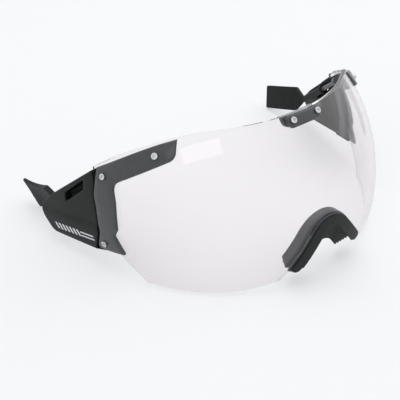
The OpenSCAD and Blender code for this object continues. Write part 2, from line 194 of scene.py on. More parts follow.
# Weave of the side panel, on a map that counts in centimetres along the lens: its checks in
# one centimetre, and where it fades in
WEAVE = 9.0
WEAVE_STARTS, WEAVE_FULL = 11.0, 12.6


def panel_skin(name):
    """Soft-touch black, with a woven look that fades in towards the panel's rear."""
    mat, n, l, shader = new_material(name)
    where = n.new("ShaderNodeUVMap")
    where.uv_map = "skin"
    cloud = spread(n, l, noise(n, l, CLOUDS, 4.0), 0.0, 1.0)
    base = tint(n, l, cloud, (0.0048, 0.0066, 0.0064), (0.0080, 0.0105, 0.0100))
    weave = n.new("ShaderNodeTexChecker")
    weave.inputs["Scale"].default_value = WEAVE
    weave.inputs["Color1"].default_value = (1, 1, 1, 1)
    weave.inputs["Color2"].default_value = (0, 0, 0, 1)
    l.new(where.outputs["UV"], weave.inputs["Vector"])
    parts = n.new("ShaderNodeSeparateXYZ")
    l.new(where.outputs["UV"], parts.inputs["Vector"])
    rear = spread(n, l, parts.outputs["X"], 0.0, 1.0, WEAVE_STARTS, WEAVE_FULL)
    share = reckon(n, l, "MULTIPLY", rear, weave.outputs["Fac"])
    l.new(tint(n, l, share, base, (0.019, 0.023, 0.023)), shader.inputs["Base Color"])
    l.new(spread(n, l, noise(n, l, GLOSS, 2.0), 0.40, 0.50), shader.inputs["Roughness"])
    shader.inputs["Specular IOR Level"].default_value = 0.2
    grain(n, l, shader, 6500, 0.00003)
    return mat


def metal(name, colour, rough):
    mat, n, l, shader = new_material(name)
    shader.inputs["Metallic"].default_value = 1.0
    base = tint(n, l, noise(n, l, 700, 3.0), [c * 0.85 for c in colour], colour)
    l.new(base, shader.inputs["Base Color"])
    gloss = spread(n, l, noise(n, l, 1500, 2.0), rough - 0.07, rough + 0.07)
    l.new(gloss, shader.inputs["Roughness"])
    grain(n, l, shader, 2500, 0.00002, 0.3)
    return mat


def clear_sheet_with_painted_shade(name):
    """Polished clear plastic that lets the lamps through, with painted shade that darkens it lower
    down.
    """
    mat, n, l, shader = new_material(name)
    where = n.new("ShaderNodeTexCoord")
    parts = n.new("ShaderNodeSeparateXYZ")
    l.new(where.outputs["Object"], parts.inputs["Vector"])
    # painted shade: the sheet's colour is darker towards its bottom, standing in for the floor shadow
    # seen through it
    rise = spread(n, l, parts.outputs["Z"], 0.0, 1.0, 0.005, 0.050)
    base = tint(n, l, rise, (0.862, 0.832, 0.842), (0.946, 0.920, 0.930))
    l.new(base, shader.inputs["Base Color"])
    shader.inputs["Transmission Weight"].default_value = 1.0
    shader.inputs["IOR"].default_value = 1.45
    shader.inputs["Roughness"].default_value = 0.0
    path = n.new("ShaderNodeLightPath")
    through = n.new("ShaderNodeBsdfTransparent")
    through.inputs["Color"].default_value = (0.93, 0.93, 0.94, 1)
    surface(n, l, path.outputs["Is Shadow Ray"], shader.outputs["BSDF"], through.outputs["BSDF"])
    return mat


def cut_edge(name):
    """Cut edge of the clear sheet: mostly seen through, pale, with a fine grey line of painted shade
    along both rims.
    """
    mat, n, l, shader = new_material(name)
    across = n.new("ShaderNodeAttribute")
    across.attribute_name = "across"
    pale = (0.85, 0.85, 0.8585)
    # painted shade: grey lines along the edge's two rims, with a pale middle
    rim_shade_lines = ramp(n, l, across.outputs["Fac"], (0.18, 0.18, 0.19), (0.45, 0.45, 0.47),
                 (0.22, pale), (0.8, pale))
    base = tint(n, l, noise(n, l, GLOSS, 2.0), rim_shade_lines, (0.75, 0.75, 0.77))
    l.new(base, shader.inputs["Base Color"])
    shader.inputs["Roughness"].default_value = 0.35
    shader.inputs["Specular IOR Level"].default_value = 0.5
    through = n.new("ShaderNodeBsdfTransparent")
    through.inputs["Color"].default_value = (0.97, 0.97, 0.98, 1)
    clear = ramp(n, l, across.outputs["Fac"], [0.25] * 3, [0.6] * 3, (0.25, [0.75] * 3))
    surface(n, l, clear, shader.outputs["BSDF"], through.outputs["BSDF"])
    return mat


# Moulded materials: dark and light colour, roughness, scale and depth of the grain, specular, coat
MOULDED = {
    "grey_plastic": ((0.044, 0.0455, 0.050), (0.054, 0.056, 0.061), 0.36, 5200, 0.00003, 0.35, 0.7),
    "inner_plastic": ((0.068, 0.068, 0.077), (0.080, 0.080, 0.090), 0.4, 5200, 0.00003, 0.4),
    "clip_plastic": ((0.042, 0.046, 0.052), (0.052, 0.057, 0.063), 0.42, 5200, 0.00003),
    "rubber": ((0.0085, 0.0105, 0.0105), (0.012, 0.0145, 0.0145), 0.6, 4200, 0.00004, 0.2),
    "pad_rubber": ((0.0055, 0.0062, 0.0058), (0.009, 0.0098, 0.0092), 0.55, 4200, 0.00004, 0.3),
    # painted shade: near-black matte put where only shade falls
    "painted_shade_black": ((0.003, 0.003, 0.003), (0.004, 0.004, 0.004), 0.8, 4200, 0.00002, 0.1),
    "pale_mark": ((0.70, 0.72, 0.73), (0.78, 0.80, 0.81), 0.5, 4200, 0.00001, 0.4),
    "coated_rod": ((0.050, 0.052, 0.056), (0.066, 0.068, 0.073), 0.34, 5200, 0.00002),
}
MATERIALS = {name: moulded(name, *look) for name, look in MOULDED.items()}
MATERIALS["clear_lens"] = clear_sheet_with_painted_shade("clear_lens")
MATERIALS["lens_edge"] = cut_edge("lens_edge")
MATERIALS["black_panel"] = panel_skin("black_panel")
MATERIALS["steel"] = metal("steel", (0.70, 0.70, 0.71), 0.26)

for part in frame["record"]["subparts"]:
    mesh = nodes[part["node"]].data
    mesh.materials.clear()
    inner = part["node"].startswith(("backing_", "rod_socket_"))
    mesh.materials.append(MATERIALS["inner_plastic" if inner else part["material_slot"]])


# Lens surface: radius of its plan and of its section, and how it rests on the table.
# Beyond the panel's azimuth, at S77 along the plan, the side runs straight to the rear.
PLAN_R = 73.0
SIDE_R = 80.3
LENS_T = 2.0
PANEL_AZ = math.radians(77)
S77 = PANEL_AZ * PLAN_R
LEANING = Matrix.Rotation(-math.radians(25), 3, "X")
SEAT = Vector((0, -52.9, 42.846))
BRACKET_T = 1.2


def at_rest(point, side):
    """Where a point of the visor's own frame, in millimetres, lies on the table, in metres."""
    x, y, z = point
    return (LEANING @ Vector((side * x, y, z)) + SEAT) * MM


def own(point, side):
    """The other way round: where a point on the table lies in the visor's own frame."""
    x, y, z = LEANING.transposed() @ (point / MM - SEAT)
    return Vector((side * x, y, z))


def skin(s, t, out, side=1):
    """Point out millimetres outside the lens, s along its plan and t up its section."""
    rise = t / SIDE_R
    rho = PLAN_R - SIDE_R + (SIDE_R + out) * math.cos(rise)
    az = min(s / PLAN_R, PANEL_AZ)
    run = max(0.0, s - S77)
    x = rho * math.sin(az) + run * math.cos(az)
    y = PLAN_R - rho * math.cos(az) + run * math.sin(az)
    return at_rest((x, y, (SIDE_R + out) * math.sin(rise)), side)


def unskin(point, side=1):
    """Where a point lies on the lens surface: s, t and how far outside."""
    x, y, z = own(point, side)
    y -= PLAN_R
    run = x * math.cos(PANEL_AZ) + y * math.sin(PANEL_AZ)
    if run > 0:
        rho, s = x * math.sin(PANEL_AZ) - y * math.cos(PANEL_AZ), S77 + run
    else:
        rho, s = math.hypot(x, y), math.atan2(x, -y) * PLAN_R
    core = rho - PLAN_R + SIDE_R
    return s, math.atan2(z, core) * SIDE_R, math.hypot(core, z) - SIDE_R


# Meshes
def merged(node):
    mesh = bmesh.new()
    mesh.from_mesh(nodes[node].data)
    bmesh.ops.remove_doubles(mesh, verts=mesh.verts, dist=CLOSE)
    return mesh


def baked(holder):
    """What an object's modifiers make of it, as a bmesh, in place of the object."""
    graph = bpy.context.evaluated_depsgraph_get()
    whole = bpy.data.meshes.new_from_object(holder.evaluated_get(graph))
    bpy.data.objects.remove(holder)
    mesh = bmesh.new()
    mesh.from_mesh(whole)
    bpy.data.meshes.remove(whole)
    return mesh


SHARP = math.radians(30)


def piece(name, mesh, materials, body="visor", slot=None):
    """Turns a bmesh into a piece that rides on a body, or on none yet."""
    bmesh.ops.recalc_face_normals(mesh, faces=mesh.faces)
    data = bpy.data.meshes.new(name)
    mesh.to_mesh(data)
    mesh.free()
    for key in materials:
        data.materials.append(MATERIALS[key])
    data.shade_smooth()
    data.set_sharp_from_angle(angle=SHARP)
    thing = placed(name, data)
    if body:
        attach(thing, body)
    return thing


def turned(loop, wanted):
    """The loop, or its reverse where it doesn't run anticlockwise as wanted."""
    area = sum(a[0] * b[1] - b[0] * a[1] for a, b in zip(loop, loop[1:] + loop[:1]))
    return loop if (area > 0) == wanted else loop[::-1]


def length(loop):
    return sum(math.dist(a, b) for a, b in zip(loop, loop[1:] + loop[:1]))


def middle(loop):
    return [sum(p[k] for p in loop) / len(loop) for k in (0, 1)]


def rims(node, out, side=1, reach=0.03):
    """Borders of a node's faces that lie out millimetres outside the lens.

    The outline comes first, then the holes, which run the other way round."""
    mesh = merged(node)
    flat = {v: unskin(v.co, side) for v in mesh.verts}
    level = {f for f in mesh.faces if all(abs(flat[v][2] - out) < reach for v in f.verts)}
    border = dict.fromkeys(e for e in mesh.edges if sum(f in level for f in e.link_faces) == 1)
    loops = []
    while border:
        edge = next(iter(border))
        del border[edge]
        start, at = edge.verts
        loop = [start]
        while at is not start:
            loop.append(at)
            edge = next((e for e in at.link_edges if e in border), None)
            if edge is None:
                break
            del border[edge]
            at = edge.other_vert(at)
        loops.append([flat[v][:2] for v in loop])
    mesh.free()
    loops.sort(key=length, reverse=True)
    return [turned(loop, i == 0) for i, loop in enumerate(loops)]


def even(loop, step):
    """The loop with its long edges cut to step and its tiny ones dropped."""
    tiny = step * 0.15
    kept = []
    for point in loop:
        if not kept or math.dist(kept[-1], point) > tiny:
            kept.append(point)
    if math.dist(kept[0], kept[-1]) < tiny:
        kept.pop()
    dense = []
    for a, b in zip(kept, kept[1:] + kept[:1]):
        parts = max(1, round(math.dist(a, b) / step))
        dense += [tuple(p + (q - p) * i / parts for p, q in zip(a, b)) for i in range(parts)]
    return dense


def inset(loop, depth):
    """The loop moved inwards, on its left side, by depth."""
    moved = []
    for p, q, r in zip(loop[-1:] + loop[:-1], loop, loop[1:] + loop[:1]):
        a = Vector((q[0] - p[0], q[1] - p[1])).normalized()
        b = Vector((r[0] - q[0], r[1] - q[1])).normalized()
        left = Vector((-a.y - b.y, a.x + b.x))
        if left.length < 1e-6:
            left = Vector((-a.y, a.x)) * 2
        left = left / max(1.0, left.length_squared / 2)
        moved.append((q[0] + left.x * depth, q[1] + left.y * depth))
    return moved


def inside(point, loop):
    x, y = point
    odd = False
    for (ax, ay), (bx, by) in zip(loop, loop[1:] + loop[:1]):
        if (ay > y) != (by > y) and x < (bx - ax) * (y - ay) / (by - ay) + ax:
            odd = not odd
    return odd


def fill(loops, pitch):
    """Triangles of the area in the first loop and outside the others, over a grid of points."""
    points = [p for loop in loops for p in loop]
    edges, first = [], 0
    for loop in loops:
        edges += [(first + i, first + (i + 1) % len(loop)) for i in range(len(loop))]
        first += len(loop)
    low = [min(p[i] for p in loops[0]) for i in (0, 1)]
    high = [max(p[i] for p in loops[0]) for i in (0, 1)]
    near = KDTree(len(points))
    for i, p in enumerate(points):
        near.insert((*p, 0), i)
    near.balance()
    boxes = [[f(p[k] for p in hole) for f in (min, max) for k in (0, 1)] for hole in loops[1:]]

    def in_hole(x, y):
        return any(a <= x <= c and b <= y <= d and inside((x, y), hole)
                   for (a, b, c, d), hole in zip(boxes, loops[1:]))

    for i in range(int((high[0] - low[0]) / pitch) + 1):
        for j in range(int((high[1] - low[1]) / pitch) + 1):
            spot = (low[0] + pitch * (i + 0.5), low[1] + pitch * (j + 0.5))
            free = near.find((*spot, 0))[2] > pitch * 0.5
            if free and inside(spot, loops[0]) and not in_hole(*spot):
                points.append(spot)
    made = delaunay_2d_cdt([Vector(p) for p in points], edges, [], 1, 1e-6)
    spots, faces = [tuple(v) for v in made[0]], made[2]
    keep = []
    for face in faces:
        mid = tuple(sum(spots[i][k] for i in face) / 3 for k in (0, 1))
        if not in_hole(*mid):
            keep.append(face)
    return spots, keep


# Steps of a rounded rim, and the small edge and the sunk floor of a hole that doesn't go through
ROUNDING = [math.radians(a) for a in (0, 22.5, 45, 67.5, 90)]
HOLE_EDGE = 0.08
HOLE_SINK = 0.17


def plate(loops, inner, outer, bevel, side=1, pitch=1.8, step=0.8, through=False, fall=None):
    """Sheet between two heights over the lens surface, with rounded outer rims.

    outer may be a number or a function of s and t; bevel and fall are the rim's width and depth.
    Its holes go through it, or else they have a floor a little below its top."""
    top = outer if callable(outer) else lambda s, t: outer
    mesh = bmesh.new()

    def ring(loop, height):
        return [mesh.verts.new(skin(s, t, height(s, t), side)) for s, t in loop]

    def join(one, two):
        for i in range(len(one)):
            j = (i + 1) % len(one)
            mesh.faces.new((one[i], one[j], two[j], two[i]))

    def cap(loops, pitch, height):
        spots, faces = fill(loops, pitch)
        verts = ring(spots, height)
        for face in faces:
            mesh.faces.new([verts[i] for i in face])

    loops = [even(loop, step * 0.5 if i else step) for i, loop in enumerate(loops)]
    faced = []
    for i, loop in enumerate(loops):
        if i == 0 or through:
            wide, deep = bevel, fall or bevel
            last = ring(loop, lambda s, t: inner)
        else:
            wide = deep = HOLE_EDGE
            last = ring(loop, lambda s, t: top(s, t) - HOLE_SINK)
            mesh.faces.new(last)
        for a in ROUNDING:
            drop = 1 - math.sin(a)
            here = ring(inset(loop, wide * (1 - math.cos(a))),
                        lambda s, t: top(s, t) - min(deep, 0.75 * top(s, t)) * drop)
            join(last, here)
            last = here
        faced.append(inset(loop, wide))
    cap(faced, pitch, top)
    cap(loops if through else loops[:1], pitch * 1.5, lambda s, t: inner)
    bmesh.ops.remove_doubles(mesh, verts=mesh.verts, dist=2 * CLOSE)
    return mesh


def formed(mesh, name, cell, rounds, **how):
    """Soft form of a closed mesh: remeshed in fine cells, then smoothed until its edges are round."""
    data = bpy.data.meshes.new(name)
    mesh.to_mesh(data)
    mesh.free()
    thing = placed(name, data)
    cells = thing.modifiers.new("cells", "REMESH")
    cells.mode = "VOXEL"
    cells.voxel_size = cell * MM
    rounder = thing.modifiers.new("rounder", "SMOOTH")
    rounder.factor = 0.5
    rounder.iterations = rounds
    return piece(name, baked(thing), **how)


def outer_shell(mesh):
    """The mesh with only its largest shell, so without the closed pocket inside it."""
    left, shells = set(mesh.verts), []
    while left:
        seen, queue = set(), [left.pop()]
        while queue:
            vert = queue.pop()
            seen.add(vert)
            for edge in vert.link_edges:
                other = edge.other_vert(vert)
                if other in left:
                    left.discard(other)
                    queue.append(other)
        shells.append(seen)

    def span(shell):
        return max((a.co - next(iter(shell)).co).length for a in shell)

    largest = max(shells, key=span)
    for shell in shells:
        if shell is not largest:
            bmesh.ops.delete(mesh, geom=list(shell), context="VERTS")
    return mesh


def ease(x):
    """Rises smoothly from 0 at 0 to 1 at 1."""
    x = max(0.0, min(1.0, x))
    return x * x * (3 - 2 * x)


def nearest(point, loop):
    """Closest point of a closed loop."""
    best, gap = loop[0], 1e9
    for a, b in zip(loop, loop[1:] + loop[:1]):
        run = (b[0] - a[0], b[1] - a[1])
        size = run[0] ** 2 + run[1] ** 2
        if size == 0:
            continue
        share = ((point[0] - a[0]) * run[0] + (point[1] - a[1]) * run[1]) / size
        share = max(0.0, min(1.0, share))
        spot = (a[0] + run[0] * share, a[1] + run[1] * share)
        if math.dist(spot, point) < gap:
            best, gap = spot, math.dist(spot, point)
    return best


# Geometry nodes
def new_tree(name, sizes):
    """Empty tree with a geometry input and output, and an input for each named size."""
    tree = bpy.data.node_groups.new(name, "GeometryNodeTree")
    for way in ("INPUT", "OUTPUT"):
        tree.interface.new_socket("Geometry", in_out=way, socket_type="NodeSocketGeometry")
    for key, (kind, _) in sizes.items():
        tree.interface.new_socket(key, in_out="INPUT", socket_type=kind)
    return tree, tree.nodes.new("NodeGroupInput")


def copied(tree, given, points, shape):
    """Ends the tree with the shape on every point, made real and given its material."""
    n, l = tree.nodes, tree.links
    copies = n.new("GeometryNodeInstanceOnPoints")
    l.new(points, copies.inputs["Points"])
    l.new(shape, copies.inputs["Instance"])
    real = n.new("GeometryNodeRealizeInstances")
    l.new(copies.outputs["Instances"], real.inputs["Geometry"])
    paint = n.new("GeometryNodeSetMaterial")
    l.new(real.outputs["Geometry"], paint.inputs["Geometry"])
    l.new(given.outputs["Finish"], paint.inputs["Material"])
    out = n.new("NodeGroupOutput")
    l.new(paint.outputs["Geometry"], out.inputs["Geometry"])


def grown(tree, sizes, data):
    """What the tree makes of a mesh, as a bmesh."""
    holder = placed(tree.name, data)
    modifier = holder.modifiers.new(tree.name, "NODES")
    modifier.node_group = tree
    for socket in tree.interface.items_tree:
        if socket.in_out == "INPUT" and socket.name in sizes:
            modifier[socket.identifier] = sizes[socket.name][1]
    return baked(holder)


def beads(spots, size, finish):
    """Small beads on the given points, in metres."""
    sizes = {"Radius": ("NodeSocketFloat", size),
             "Finish": ("NodeSocketMaterial", MATERIALS[finish])}
    tree, given = new_tree("beads", sizes)
    bead = tree.nodes.new("GeometryNodeMeshUVSphere")
    bead.inputs["Segments"].default_value = 16
    bead.inputs["Rings"].default_value = 10
    tree.links.new(given.outputs["Radius"], bead.inputs["Radius"])
    copied(tree, given, given.outputs["Geometry"], bead.outputs["Mesh"])
    points = bpy.data.meshes.new("points")
    points.from_pydata(spots, [], [])
    return grown(tree, sizes, points)


def slanted_bars(count, pitch, width, height, slant):
    """Flat row of slanted bars, in millimetres."""
    sizes = {"Count": ("NodeSocketInt", count), "Pitch": ("NodeSocketFloat", pitch),
             "Width": ("NodeSocketFloat", width), "Height": ("NodeSocketFloat", height),
             "Slant": ("NodeSocketFloat", slant),
             "Finish": ("NodeSocketMaterial", MATERIALS["pale_mark"])}
    tree, given = new_tree("slanted_bars", sizes)
    n, l = tree.nodes, tree.links
    row = n.new("GeometryNodeMeshLine")
    l.new(given.outputs["Count"], row.inputs["Count"])
    offset = n.new("ShaderNodeCombineXYZ")
    l.new(given.outputs["Pitch"], offset.inputs["X"])
    l.new(offset.outputs["Vector"], row.inputs["Offset"])
    bar = n.new("GeometryNodeMeshGrid")
    l.new(given.outputs["Width"], bar.inputs["Size X"])
    l.new(given.outputs["Height"], bar.inputs["Size Y"])
    bar.inputs["Vertices X"].default_value = 3
    bar.inputs["Vertices Y"].default_value = 4
    spot = n.new("GeometryNodeInputPosition")
    split = n.new("ShaderNodeSeparateXYZ")
    l.new(spot.outputs["Position"], split.inputs["Vector"])
    push = n.new("ShaderNodeCombineXYZ")
    lean = reckon(n, l, "MULTIPLY", split.outputs["Y"], given.outputs["Slant"])
    l.new(lean, push.inputs["X"])
    shear = n.new("GeometryNodeSetPosition")
    l.new(bar.outputs["Mesh"], shear.inputs["Geometry"])
    l.new(push.outputs["Vector"], shear.inputs["Offset"])
    copied(tree, given, row.outputs["Mesh"], shear.outputs["Geometry"])
    return grown(tree, sizes, bpy.data.meshes.new("bars"))


# Lens: two true curved faces between the imported sheet's own rims. Its cut edge is painted dark as
# shade behind a bracket, from this far ahead of S77 and above this height.
RIM_STEP, HOLE_STEP = 0.9, 0.3
LENS_PITCH = 1.3
SHADE_PAINT_AHEAD, SHADE_PAINT_ABOVE = 7.5, 8


def make_lens():
    outer = [even(loop, HOLE_STEP if i else RIM_STEP) for i, loop in enumerate(rims("lens", 0.0))]
    back = rims("lens", -LENS_T)
    inner = []
    for loop in outer:
        match = min(back, key=lambda other: math.dist(middle(loop), middle(other))
                    + abs(length(other) - length(loop)) * 0.2)
        inner.append([nearest(p, match) for p in loop])
    mesh = bmesh.new()
    across = mesh.verts.layers.float.new("across")

    def add(s, t, out):
        vert = mesh.verts.new(skin(s, t, out))
        vert[across] = -out / LENS_T
        return vert

    for one, two in zip(outer, inner):
        front = [add(s, t, 0.0) for s, t in one]
        rear = [add(s, t, -LENS_T) for s, t in two]
        for i in range(len(one)):
            j = (i + 1) % len(one)
            face = mesh.faces.new((front[i], front[j], rear[j], rear[i]))
            s, t = one[i]
            # painted shade: edge faces behind a bracket take the near-black material
            face.material_index = 2 if abs(s) > S77 - SHADE_PAINT_AHEAD and t > SHADE_PAINT_ABOVE else 1
    for loops, out in ((outer, 0.0), (inner, -LENS_T)):
        spots, faces = fill(loops, LENS_PITCH)
        verts = [add(s, t, out) for s, t in spots]
        for face in faces:
            mesh.faces.new([verts[i] for i in face])
    bmesh.ops.remove_doubles(mesh, verts=mesh.verts, dist=2 * CLOSE)
    bmesh.ops.dissolve_degenerate(mesh, edges=mesh.edges, dist=CLOSE)
    thing = piece("clear_shield", mesh, ["clear_lens", "lens_edge", "painted_shade_black"])
    data = thing.data
    true = []
    for vert in data.vertices:
        s, t, out = unskin(vert.co)
        true.append((skin(s, t, out + 1) - skin(s, t, out)).normalized())
    normals = []
    for face in data.polygons:
        for i in face.vertices:
            if face.material_index:
                normals.append((0, 0, 0))
            else:
                normals.append(true[i] if face.normal.dot(true[i]) > 0 else -true[i])
    data.normals_split_custom_set(normals)
    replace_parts(thing, "lens")


# Plates: width and depth of their rounded rims, and how thin the bracket's arm starts
ARM_RIM, BROW_RIM = (0.7, 0.9), (0.5, 0.7)
TIP_SHARE, TIP_RUN = 0.4, 6


def make_plates():
    for word, side in SIDES.items():
        loops = rims("bracket_" + word, BRACKET_T, side)
        end = min(s for s, t in loops[0])

        def thin(s, t, end=end):
            return BRACKET_T * (TIP_SHARE + (1 - TIP_SHARE) * ease((s - end) / TIP_RUN))

        mesh = plate(loops, 0.0, thin, ARM_RIM[0], side, fall=ARM_RIM[1])
        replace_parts(piece("corner_bracket_" + word, mesh, ["grey_plastic"]), "bracket_" + word)
    mesh = plate(rims("centre_plate", BRACKET_T), 0.0, BRACKET_T, BROW_RIM[0], fall=BROW_RIM[1])
    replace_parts(piece("brow_plate", mesh, ["grey_plastic"]), "centre_plate")


# Locating pips on the corner brackets, beside the screws
PIPS = ((64.9, 27.3), (64.1, 24.1), (83.8, 20.6))
PIP_R = 0.4
PIP_SUNK = 0.12


def make_pips():
    for word, side in SIDES.items():
        spots = [skin(s, t, BRACKET_T - PIP_SUNK, side) for s, t in PIPS]
        mesh = beads(spots, PIP_R * MM, "clip_plastic")
        piece("bracket_pips_" + word, mesh, ["clip_plastic"], slot="grey_plastic")


# Nose clip and pad: soft forms in cells of this size
NOSE_CELL = 0.16


def make_nose():
    clip = formed(merged("nose_clip"), "nose_arch", NOSE_CELL, 3,
                  materials=["clip_plastic"], slot="grey_plastic")
    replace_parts(clip, "nose_clip")
    pad = formed(merged("nose_pad"), "nose_cushion", NOSE_CELL, 4,
                 materials=["pad_rubber"], slot="rubber")
    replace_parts(pad, "nose_pad")


# Side panel: its two faces joined by a soft fold along the crease
PANEL_OUT = 1.0
FACET_RISE = 0.7
COVER = 0.1
FOLD = 3.0
CREASE_AT, CREASE_SLOPE = 0.9, 0.2125


def crease(s):
    """Height of the crease, which falls to the front."""
    return CREASE_AT + CREASE_SLOPE * (s - S77)


def panel_height(s, t):
    """How far the panel's cover stands outside the lens."""
    above = (SIDE_R + PANEL_OUT) * math.sin(t / SIDE_R) - crease(s)
    return PANEL_OUT + COVER + FACET_RISE * ease(1 - above / FOLD)


def uv_skin(thing, side):
    """Lays the piece's map along the lens surface, in centimetres."""
    data = thing.data
    layer = data.uv_layers.new(name="skin")
    flat = [unskin(v.co, side) for v in data.vertices]
    for face in data.polygons:
        for corner in face.loop_indices:
            s, t, _ = flat[data.loops[corner].vertex_index]
            layer.data[corner].uv = (s / 10, t / 10)


# Printed marks on the lower facet. Each row: bars, their pitch, width, height and slant,
# where the first stands behind S77, and how far below the crease
MARK_T = 0.06
MARK_SUNK = 0.02
MARKS = (
    (7, 2.3, 1.15, 2.6, 0.45, 11.6, 4.3),
    (1, 1.0, 8.0, 0.6, 0.0, 6.2, 5.1),
    (1, 1.0, 8.0, 0.6, 0.0, 6.2, 3.6),
)


def make_marks(word, side):
    """Row of slanted bars and two stripes, raised a little on the panel's lower facet."""
    mesh = bmesh.new()
    for *bars, along, drop in MARKS:
        part = slanted_bars(*bars)
        walls = bmesh.ops.extrude_face_region(part, geom=list(part.faces))
        raised = {v for v in walls["geom"] if isinstance(v, bmesh.types.BMVert)}
        for vert in part.verts:
            s = S77 + along + vert.co.x
            t = crease(s) - drop + vert.co.y
            out = panel_height(s, t) + (MARK_T if vert in raised else -MARK_SUNK)
            vert.co = skin(s, t, out, side)
        loose = bpy.data.meshes.new("marks")
        part.to_mesh(loose)
        part.free()
        mesh.from_mesh(loose)
        bpy.data.meshes.remove(loose)
    piece("panel_marks_" + word, mesh, ["pale_mark"], slot="black_panel")


# Thin strip of panel that the bracket's lower edge leaves: how far behind S77 it ends, its top,
# and the panel's corner, where the strip is drawn back to. What touches the lens stays.
SLIVER_END, SLIVER_TOP = 2.1, -7
CORNER_BEHIND, CORNER_T = 2.2, -7.62
OFF_LENS = 0.02


def in_sliver(s, t):
    return s < S77 + SLIVER_END and t < SLIVER_TOP


def panel_core(word, side):
    """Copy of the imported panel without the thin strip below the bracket."""
    mesh = merged("side_panel_" + word)
    for vert in mesh.verts:
        s, t, out = unskin(vert.co, side)
        if in_sliver(s, t) and out > OFF_LENS:
            vert.co = skin(S77 + CORNER_BEHIND, CORNER_T, out, side)
    bmesh.ops.remove_doubles(mesh, verts=mesh.verts, dist=2 * CLOSE)
    bmesh.ops.dissolve_degenerate(mesh, edges=mesh.edges, dist=CLOSE)
    core = piece("panel_core_" + word, mesh, ["black_panel"])
    uv_skin(core, side)
    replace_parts(core, "side_panel_" + word)


# Groove between panel and bracket: its ends, and how far behind S77 the panel's front edge lies at
# most up to each height. Then the painted shadow strip's width, how much wider it is at the top, how
# it leans there, and where each of the two starts and over what length
GROOVE_SHADOW_LOW, GROOVE_SHADOW_TOP = -6.6, 24.3
GROOVE_SHADOW_FRONT = ((12, 2.9), (19, -3.3), (GROOVE_SHADOW_TOP, -4.5))
GROOVE_SHADOW_WIDE, GROOVE_SHADOW_WIDENS, GROOVE_SHADOW_LEAN = 0.9, 2.4, 0.295
WIDENS_FROM, WIDENS_RUN = 15, 9
LEANS_FROM, LEANS_RUN = 20, 4


def panel_groove_shadow(outline, word, side):
    """Painted shadow: a near-black strip in the groove between the panel's front edge and the
    bracket.
    """
    def at_front(s, t):
        return GROOVE_SHADOW_LOW < t < GROOVE_SHADOW_TOP and s < S77 + next(far for top, far in GROOVE_SHADOW_FRONT if t < top)

    front = [p for p in outline if at_front(*p)]
    front.sort(key=lambda p: -p[1])
    ahead = []
    for s, t in front:
        wide = GROOVE_SHADOW_WIDE + GROOVE_SHADOW_WIDENS * ease((t - WIDENS_FROM) / WIDENS_RUN)
        ahead.append((s - wide, t + GROOVE_SHADOW_LEAN * wide * ease((t - LEANS_FROM) / LEANS_RUN)))
    loop = turned(ahead + [(s + 1.0, t - 0.3) for s, t in front[::-1]], True)
    strip = plate([loop], inner=OFF_LENS, outer=0.7, bevel=0.1, side=side, pitch=2.0)
    piece("panel_groove_shadow_" + word, strip, ["painted_shade_black"], slot="black_panel")


# Frame behind the slot: its width around the slot and inside it, and its two faces
FRAME_AROUND, FRAME_WITHIN = 1.3, 0.75
FRAME_BACK, FRAME_FRONT = -2.0, -1.2


def make_panels():
    half = FACET_RISE / 2
    for word, side in SIDES.items():
        loops = rims("side_panel_" + word, PANEL_OUT + half, side, half + 0.05)
        outline = even([p for p in loops[0] if not in_sliver(*p)], 0.8)
        slot = even(loops[1], 0.5)
        cover = plate([inset(outline, -COVER), inset(slot, COVER)], inner=0.2, outer=panel_height,
                      bevel=0.3, side=side, pitch=1.0, through=True)
        uv_skin(piece("panel_face_" + word, cover, ["black_panel"]), side)
        # partly a real liner, partly painted shade: its near-black finish makes the slot look deep
        # and dark
        lips = plate([inset(slot, FRAME_AROUND)[::-1], inset(slot, -FRAME_WITHIN)],
                     inner=FRAME_BACK, outer=FRAME_FRONT, bevel=0.2, side=side,
                     pitch=1.0, step=0.5, through=True)
        piece("slot_frame_" + word, lips, ["painted_shade_black"], slot="black_panel")
        panel_core(word, side)
        panel_groove_shadow(outline, word, side)
        make_marks(word, side)


# Rod, neck and tab: where and how deep the rod's rear run starts, how it splays and slopes,
# where the neck ends on it, and how the tab turns there
SLOT_BEHIND, SLOT_RISE = 8.6, 16.5
ROD_IN = 4.9
ROD_DEPTH = ROD_IN + SIDE_R - math.sqrt(SIDE_R ** 2 - SLOT_RISE ** 2)
ROD_SPLAY, ROD_SLOPE = 6, 14.5
NECK_END = 21
NECK_PARTS = 12
TAB_YAW, TAB_PITCH, TAB_ROLL = 18, 18.6, 11


def move(x, y, z):
    return Matrix.Translation((x, y, z))


def turn(axis, angle):
    return Matrix.Rotation(math.radians(angle), 4, axis)


def rod_frame():
    """Frame of the rod's rear run, in the visor's own frame."""
    swing = move(0, PLAN_R, 0) @ Matrix.Rotation(PANEL_AZ, 4, "Z") @ move(0, -PLAN_R, 0)
    start = swing @ move(SLOT_BEHIND, ROD_DEPTH, SLOT_RISE)
    return start @ turn("Z", -ROD_SPLAY) @ turn("Y", ROD_SLOPE)


def tab_frame():
    """Frame of the tab, in the visor's own frame: along it, through it and up it."""
    root = rod_frame() @ move(NECK_END, 0, 0)
    return root @ turn("Z", TAB_YAW) @ turn("Y", -TAB_PITCH) @ turn("X", TAB_ROLL)


# Curl of the tabs: where it starts, its length and its depth
CURL_FROM, CURL_RUN, CURL_DEEP = 3.5, 28, 0.5
# Near tab only: height of its top edge and how far that dips, from where the tab flattens and its
# resting corner splays, over what lengths, how much it flattens, from what height down the corner
# splays, and where to
TAB_TOP, DIP = 6.3, 2.0
CORNER_FROM, CORNER_RUN, FLAT_RUN = 9, 22, 20
FLATTENS = 0.45
CORNER_TOP, CORNER_HEIGHT = 2, 8
SPLAY = Vector((-0.9, -5.2, 0)) * MM


